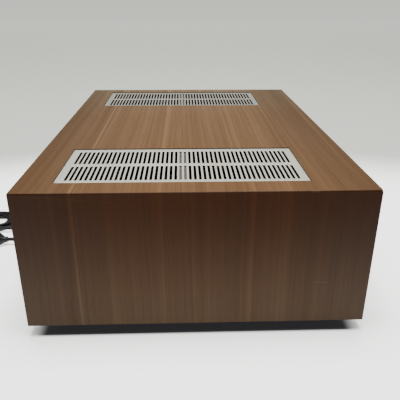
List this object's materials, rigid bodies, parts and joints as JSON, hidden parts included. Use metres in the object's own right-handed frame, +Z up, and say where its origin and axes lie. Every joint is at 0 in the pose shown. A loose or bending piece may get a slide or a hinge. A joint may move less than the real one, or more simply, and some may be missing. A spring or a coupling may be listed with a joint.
{
  "type": "integrated amplifier",
  "caption": "Stereo integrated amplifier in a walnut veneered wooden sleeve, with slotted top grilles over its heat sinks, a knob and lever front and a rear mains lead.",
  "frame": {"origin": "middle of the footprint of the amplifier without its mains lead, on the surface that it stands on", "axes": "+X to the right seen from the front, +Y towards the rear panel, +Z up"},
  "size_m": [0.5, 0.5922, 0.158],
  "materials": {
    "walnut_veneer": "Satin oiled walnut veneer, dark brown with fine straight grain.",
    "satin_aluminium": "Satin anodised aluminium, natural silver.",
    "black_painted_steel": "Matte black baked enamel on sheet steel.",
    "zinc_plated_steel": "Zinc plated sheet steel.",
    "foot_rubber": "Black moulded rubber.",
    "black_plastic": "Black phenolic moulding, slightly glossy.",
    "red_plastic": "Red moulded plastic.",
    "nickel_plate": "Bright nickel plate.",
    "amber_lens": "Clear amber moulded lens.",
    "black_anodised_aluminium": "Black anodised extruded aluminium.",
    "circuit_board": "Tan phenolic paper laminate with components.",
    "capacitor_sleeve": "Dark blue shrink sleeve on an aluminium can.",
    "mains_lead": "Black vinyl sheath."
  },
  "bodies": {
    "root": {"cabinet_top": "walnut_veneer", "cabinet_side_left": "walnut_veneer", "cabinet_side_right": "walnut_veneer", "vent_grille_left": "satin_aluminium", "vent_grille_right": "satin_aluminium", "grille_stiffener_left": "satin_aluminium", "grille_stiffener_right": "satin_aluminium", "face_plate": "satin_aluminium", "bottom_cover": "black_painted_steel", "rear_panel": "black_painted_steel", "power_transformer": "black_painted_steel", "front_chassis_panel": "zinc_plated_steel", "chassis_rail_left": "zinc_plated_steel", "chassis_rail_right": "zinc_plated_steel", "control_bracket": "zinc_plated_steel", "foot_front_left": "foot_rubber", "foot_front_right": "foot_rubber", "foot_back_left": "foot_rubber", "foot_back_right": "foot_rubber", "speaker_terminal_block": "black_plastic", "outlet_block": "black_plastic", "headphone_jack": "nickel_plate", "input_jack_board": "nickel_plate", "tape_jack_board": "nickel_plate", "pilot_lamp": "amber_lens", "heat_sink_left": "black_anodised_aluminium", "heat_sink_right": "black_anodised_aluminium", "power_amplifier_board_left": "circuit_board", "power_amplifier_board_right": "circuit_board", "preamplifier_board": "circuit_board", "filter_capacitor_front": "capacitor_sleeve", "filter_capacitor_back": "capacitor_sleeve", "mains_cord": "mains_lead", "mains_cord_tail": "mains_lead", "cord_hank": "mains_lead", "cord_strain_relief": "mains_lead", "mains_plug": "mains_lead"},
    "bass_knob": {"bass_knob": "satin_aluminium"},
    "midrange_knob": {"midrange_knob": "satin_aluminium"},
    "treble_knob": {"treble_knob": "satin_aluminium"},
    "volume_knob": {"volume_knob": "satin_aluminium"},
    "input_selector_knob": {"input_selector_knob": "satin_aluminium"},
    "speaker_selector_knob": {"speaker_selector_knob": "satin_aluminium"},
    "balance_knob": {"balance_knob": "satin_aluminium"},
    "power_lever": {"power_lever": "satin_aluminium"},
    "low_filter_lever": {"low_filter_lever": "satin_aluminium"},
    "high_filter_lever": {"high_filter_lever": "satin_aluminium"},
    "loudness_lever": {"loudness_lever": "satin_aluminium"},
    "tape_monitor_lever": {"tape_monitor_lever": "satin_aluminium"},
    "mode_lever": {"mode_lever": "satin_aluminium"},
    "upper_terminal_lever_1": {"upper_terminal_lever_1": "red_plastic"},
    "upper_terminal_lever_2": {"upper_terminal_lever_2": "black_plastic"},
    "upper_terminal_lever_3": {"upper_terminal_lever_3": "red_plastic"},
    "upper_terminal_lever_4": {"upper_terminal_lever_4": "black_plastic"},
    "lower_terminal_lever_1": {"lower_terminal_lever_1": "red_plastic"},
    "lower_terminal_lever_2": {"lower_terminal_lever_2": "black_plastic"},
    "lower_terminal_lever_3": {"lower_terminal_lever_3": "red_plastic"},
    "lower_terminal_lever_4": {"lower_terminal_lever_4": "black_plastic"},
    "fuse_cap": {"fuse_cap": "black_plastic"},
    "ground_terminal_nut": {"ground_terminal_nut": "nickel_plate"}
  },
  "joints": [
    {"name": "bass_knob_turn", "type": "hinge", "parent": "root", "child": "bass_knob", "pos_m": [-0.15, -0.165, 0.104], "axis": [0, 1, 0], "range_deg": [-150, 150]},
    {"name": "midrange_knob_turn", "type": "hinge", "parent": "root", "child": "midrange_knob", "pos_m": [-0.092, -0.165, 0.104], "axis": [0, 1, 0], "range_deg": [-150, 150]},
    {"name": "treble_knob_turn", "type": "hinge", "parent": "root", "child": "treble_knob", "pos_m": [-0.034, -0.165, 0.104], "axis": [0, 1, 0], "range_deg": [-150, 150]},
    {"name": "volume_knob_turn", "type": "hinge", "parent": "root", "child": "volume_knob", "pos_m": [0.068, -0.165, 0.096], "axis": [0, 1, 0], "range_deg": [-150, 150]},
    {"name": "input_selector_knob_turn", "type": "hinge", "parent": "root", "child": "input_selector_knob", "pos_m": [0.176, -0.165, 0.096], "axis": [0, 1, 0], "range_deg": [-60, 60]},
    {"name": "speaker_selector_knob_turn", "type": "hinge", "parent": "root", "child": "speaker_selector_knob", "pos_m": [-0.15, -0.165, 0.047], "axis": [0, 1, 0], "range_deg": [-30, 60]},
    {"name": "balance_knob_turn", "type": "hinge", "parent": "root", "child": "balance_knob", "pos_m": [0.068, -0.165, 0.042], "axis": [0, 1, 0], "range_deg": [-150, 150]},
    {"name": "power_lever_flick", "type": "hinge", "parent": "root", "child": "power_lever", "pos_m": [-0.204, -0.157, 0.1], "axis": [1, 0, 0], "range_deg": [-26, 0]},
    {"name": "low_filter_lever_flick", "type": "hinge", "parent": "root", "child": "low_filter_lever", "pos_m": [-0.098, -0.157, 0.046], "axis": [1, 0, 0], "range_deg": [-26, 0]},
    {"name": "high_filter_lever_flick", "type": "hinge", "parent": "root", "child": "high_filter_lever", "pos_m": [-0.06, -0.157, 0.046], "axis": [1, 0, 0], "range_deg": [-26, 0]},
    {"name": "loudness_lever_flick", "type": "hinge", "parent": "root", "child": "loudness_lever", "pos_m": [-0.022, -0.157, 0.046], "axis": [1, 0, 0], "range_deg": [0, 26]},
    {"name": "tape_monitor_lever_flick", "type": "hinge", "parent": "root", "child": "tape_monitor_lever", "pos_m": [0.152, -0.157, 0.046], "axis": [1, 0, 0], "range_deg": [-13, 13]},
    {"name": "mode_lever_flick", "type": "hinge", "parent": "root", "child": "mode_lever", "pos_m": [0.2, -0.157, 0.046], "axis": [1, 0, 0], "range_deg": [-13, 13]},
    {"name": "upper_terminal_lever_1_press", "type": "hinge", "parent": "root", "child": "upper_terminal_lever_1", "pos_m": [-0.022, 0.1773, 0.097], "axis": [-1, 0, 0], "range_deg": [0, 15], "stiffness_Nm_per_rad": 0.05, "springref_deg": -11.46},
    {"name": "upper_terminal_lever_2_press", "type": "hinge", "parent": "root", "child": "upper_terminal_lever_2", "pos_m": [0.002, 0.1773, 0.097], "axis": [-1, 0, 0], "range_deg": [0, 15], "stiffness_Nm_per_rad": 0.05, "springref_deg": -11.46},
    {"name": "upper_terminal_lever_3_press", "type": "hinge", "parent": "root", "child": "upper_terminal_lever_3", "pos_m": [0.026, 0.1773, 0.097], "axis": [-1, 0, 0], "range_deg": [0, 15], "stiffness_Nm_per_rad": 0.05, "springref_deg": -11.46},
    {"name": "upper_terminal_lever_4_press", "type": "hinge", "parent": "root", "child": "upper_terminal_lever_4", "pos_m": [0.05, 0.1773, 0.097], "axis": [-1, 0, 0], "range_deg": [0, 15], "stiffness_Nm_per_rad": 0.05, "springref_deg": -11.46},
    {"name": "lower_terminal_lever_1_press", "type": "hinge", "parent": "root", "child": "lower_terminal_lever_1", "pos_m": [-0.022, 0.1773, 0.068], "axis": [-1, 0, 0], "range_deg": [0, 15], "stiffness_Nm_per_rad": 0.05, "springref_deg": -11.46},
    {"name": "lower_terminal_lever_2_press", "type": "hinge", "parent": "root", "child": "lower_terminal_lever_2", "pos_m": [0.002, 0.1773, 0.068], "axis": [-1, 0, 0], "range_deg": [0, 15], "stiffness_Nm_per_rad": 0.05, "springref_deg": -11.46},
    {"name": "lower_terminal_lever_3_press", "type": "hinge", "parent": "root", "child": "lower_terminal_lever_3", "pos_m": [0.026, 0.1773, 0.068], "axis": [-1, 0, 0], "range_deg": [0, 15], "stiffness_Nm_per_rad": 0.05, "springref_deg": -11.46},
    {"name": "lower_terminal_lever_4_press", "type": "hinge", "parent": "root", "child": "lower_terminal_lever_4", "pos_m": [0.05, 0.1773, 0.068], "axis": [-1, 0, 0], "range_deg": [0, 15], "stiffness_Nm_per_rad": 0.05, "springref_deg": -11.46},
    {"name": "fuse_cap_turn", "type": "hinge", "parent": "root", "child": "fuse_cap", "pos_m": [0.12, 0.1723, 0.048], "axis": [0, 1, 0], "range_deg": [0, 60]},
    {"name": "ground_terminal_nut_turn", "type": "hinge", "parent": "root", "child": "ground_terminal_nut", "pos_m": [-0.208, 0.1723, 0.104], "axis": [0, 1, 0], "range_deg": [0, 360]}
  ]
}
